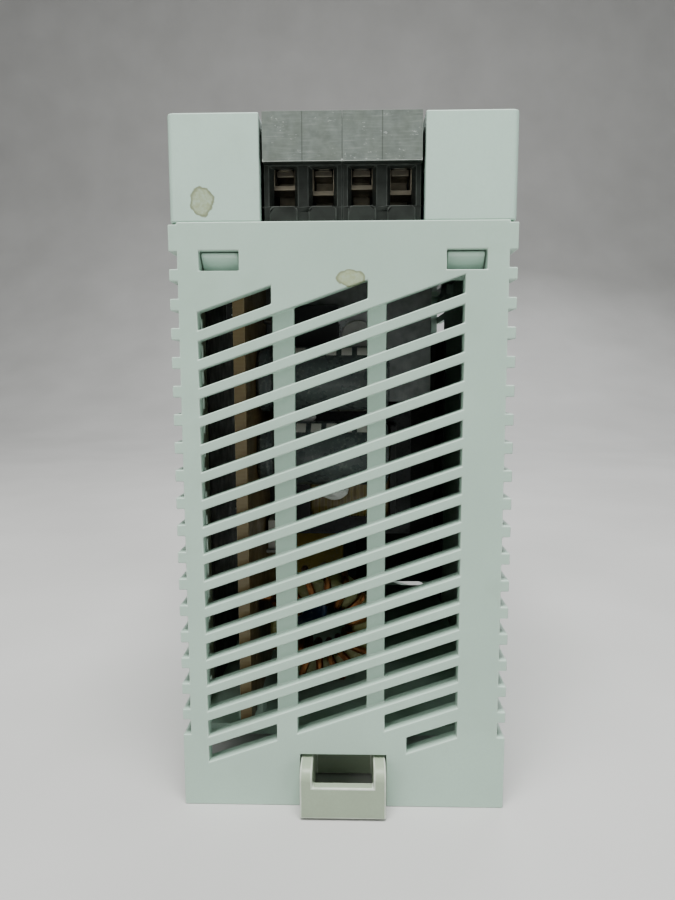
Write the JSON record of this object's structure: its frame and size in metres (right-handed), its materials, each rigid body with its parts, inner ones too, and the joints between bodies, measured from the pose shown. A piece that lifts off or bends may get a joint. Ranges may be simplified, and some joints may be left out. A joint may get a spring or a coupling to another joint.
{
  "type": "din rail power supply",
  "caption": "Slim upright power supply for a top-hat rail: slatted grey case, slanted end grilles, screw terminals at both ends, sprung rail latch at the foot.",
  "frame": {"origin": "centre of the rail seat, the plane where the rail's front face touches the case", "axes": "+Z away from the rail to the front panel, -Y to the output end with the rail latch, +X across the case"},
  "size_m": [0.045, 0.0782, 0.0937],
  "materials": {
    "housing_plastic": "fine matt moulded surface",
    "cover_plastic": "fine matt moulded surface",
    "latch_plastic": "satin moulded surface",
    "terminal_black": "matt black, scuffed on the upper lip",
    "black_plastic": "matt",
    "white_plastic": "satin",
    "trimmer_blue": "satin",
    "cage_metal": "zinc plated",
    "screw_steel": "zinc plated",
    "spring_steel": "bright",
    "contact_metal": "tinned",
    "board_green": "solder mask",
    "board_tan": "laminate",
    "insulation_film": "thin film",
    "ferrite": "sintered ceramic",
    "winding_tape": "polyester tape",
    "enamelled_wire": "enamelled",
    "choke_core": "painted powder core",
    "bulk_sleeve": "shrink sleeve",
    "capacitor_sleeve": "shrink sleeve",
    "fuse_body": "satin",
    "film_capacitor": "potted box",
    "disc_coating": "epoxy dipped",
    "solder": "dull bright",
    "heatsink_metal": "stamped",
    "green_lens": "translucent",
    "clear_plastic": "translucent",
    "label_film": "blank satin film"
  },
  "bodies": {
    "case": {"main_housing": "housing_plastic", "rail_base": "housing_plastic", "front_cover": "cover_plastic", "latch_spring": "spring_steel", "terminal_board": "board_green", "main_circuit_board": "board_tan", "insulation_sheet": "insulation_film", "output_terminal_left": "terminal_black", "output_terminal_right": "terminal_black", "input_terminal": "terminal_black", "output_contacts": "contact_metal", "input_contacts": "contact_metal", "transformer_core": "ferrite", "transformer_bobbin": "black_plastic", "transformer_winding": "winding_tape", "bulk_capacitor": "bulk_sleeve", "output_capacitors": "capacitor_sleeve", "output_choke_core": "choke_core", "output_choke_winding": "enamelled_wire", "line_choke_core": "ferrite", "line_choke_windings": "enamelled_wire", "line_fuse": "fuse_body", "suppression_capacitor": "film_capacitor", "varistor": "disc_coating", "bridge_rectifier": "black_plastic", "primary_heatsink": "heatsink_metal", "power_transistor": "black_plastic", "secondary_heatsink": "heatsink_metal", "output_diode": "black_plastic", "heatsink_screws": "screw_steel", "safety_capacitor": "disc_coating", "optocoupler": "white_plastic", "control_chips": "black_plastic", "solder_joints": "solder", "trimmer_body": "trimmer_blue", "status_light": "green_lens", "light_pipe": "clear_plastic", "rating_label": "label_film"},
    "latch": {"din_latch": "latch_plastic"},
    "trimmer": {"trimmer_rotor": "white_plastic"},
    "output_screw_1": {"output_screw_1": "screw_steel"},
    "output_cage_1": {"output_cage_1": "cage_metal"},
    "output_screw_2": {"output_screw_2": "screw_steel"},
    "output_cage_2": {"output_cage_2": "cage_metal"},
    "output_screw_3": {"output_screw_3": "screw_steel"},
    "output_cage_3": {"output_cage_3": "cage_metal"},
    "output_screw_4": {"output_screw_4": "screw_steel"},
    "output_cage_4": {"output_cage_4": "cage_metal"},
    "input_screw_1": {"input_screw_1": "screw_steel"},
    "input_cage_1": {"input_cage_1": "cage_metal"},
    "input_screw_2": {"input_screw_2": "screw_steel"},
    "input_cage_2": {"input_cage_2": "cage_metal"},
    "input_screw_3": {"input_screw_3": "screw_steel"},
    "input_cage_3": {"input_cage_3": "cage_metal"}
  },
  "joints": [
    {"name": "latch_slide", "type": "slide", "parent": "case", "child": "latch", "axis": [0, -1, 0], "range_m": [0, 0.004], "stiffness_N_per_m": 2500, "springref_m": -0.003, "deforming": ["latch_spring"]},
    {"name": "trimmer_turn", "type": "hinge", "parent": "case", "child": "trimmer", "pos_m": [0.015, -0.018, 0.0808], "axis": [0, 0, 1], "range_deg": [-135, 135]},
    {"name": "output_screw_1_turn", "type": "hinge", "parent": "case", "child": "output_screw_1", "pos_m": [-0.00762, -0.0326, 0.083], "axis": [0, 0, -1], "range_deg": [-1321, 1081]},
    {"name": "output_cage_1_lift", "type": "slide", "parent": "case", "child": "output_cage_1", "axis": [0, 0, 1], "range_m": [-0.00165, 0.00135]},
    {"name": "output_screw_2_turn", "type": "hinge", "parent": "case", "child": "output_screw_2", "pos_m": [-0.00254, -0.0326, 0.083], "axis": [0, 0, -1], "range_deg": [-762, 1641]},
    {"name": "output_cage_2_lift", "type": "slide", "parent": "case", "child": "output_cage_2", "axis": [0, 0, 1], "range_m": [-0.00095, 0.00205]},
    {"name": "output_screw_3_turn", "type": "hinge", "parent": "case", "child": "output_screw_3", "pos_m": [0.00254, -0.0326, 0.083], "axis": [0, 0, -1], "range_deg": [-1321, 1081]},
    {"name": "output_cage_3_lift", "type": "slide", "parent": "case", "child": "output_cage_3", "axis": [0, 0, 1], "range_m": [-0.00165, 0.00135]},
    {"name": "output_screw_4_turn", "type": "hinge", "parent": "case", "child": "output_screw_4", "pos_m": [0.00762, -0.0326, 0.083], "axis": [0, 0, -1], "range_deg": [-762, 1641]},
    {"name": "output_cage_4_lift", "type": "slide", "parent": "case", "child": "output_cage_4", "axis": [0, 0, 1], "range_m": [-0.00095, 0.00205]},
    {"name": "input_screw_1_turn", "type": "hinge", "parent": "case", "child": "input_screw_1", "pos_m": [0.00508, 0.0326, 0.083], "axis": [0, 0, -1], "range_deg": [-1121, 1281]},
    {"name": "input_cage_1_lift", "type": "slide", "parent": "case", "child": "input_cage_1", "axis": [0, 0, 1], "range_m": [-0.0014, 0.0016]},
    {"name": "input_screw_2_turn", "type": "hinge", "parent": "case", "child": "input_screw_2", "pos_m": [0, 0.0326, 0.083], "axis": [0, 0, -1], "range_deg": [-1441, 961]},
    {"name": "input_cage_2_lift", "type": "slide", "parent": "case", "child": "input_cage_2", "axis": [0, 0, 1], "range_m": [-0.0018, 0.0012]},
    {"name": "input_screw_3_turn", "type": "hinge", "parent": "case", "child": "input_screw_3", "pos_m": [-0.00508, 0.0326, 0.083], "axis": [0, 0, -1], "range_deg": [-961, 1441]},
    {"name": "input_cage_3_lift", "type": "slide", "parent": "case", "child": "input_cage_3", "axis": [0, 0, 1], "range_m": [-0.0012, 0.0018]}
  ],
  "couplings": [
    {"joint": "output_screw_1_turn", "follows": "output_cage_1_lift", "rad_per_m": 13963},
    {"joint": "output_screw_2_turn", "follows": "output_cage_2_lift", "rad_per_m": 13963},
    {"joint": "output_screw_3_turn", "follows": "output_cage_3_lift", "rad_per_m": 13963},
    {"joint": "output_screw_4_turn", "follows": "output_cage_4_lift", "rad_per_m": 13963},
    {"joint": "input_screw_1_turn", "follows": "input_cage_1_lift", "rad_per_m": 13963},
    {"joint": "input_screw_2_turn", "follows": "input_cage_2_lift", "rad_per_m": 13963},
    {"joint": "input_screw_3_turn", "follows": "input_cage_3_lift", "rad_per_m": 13963}
  ]
}
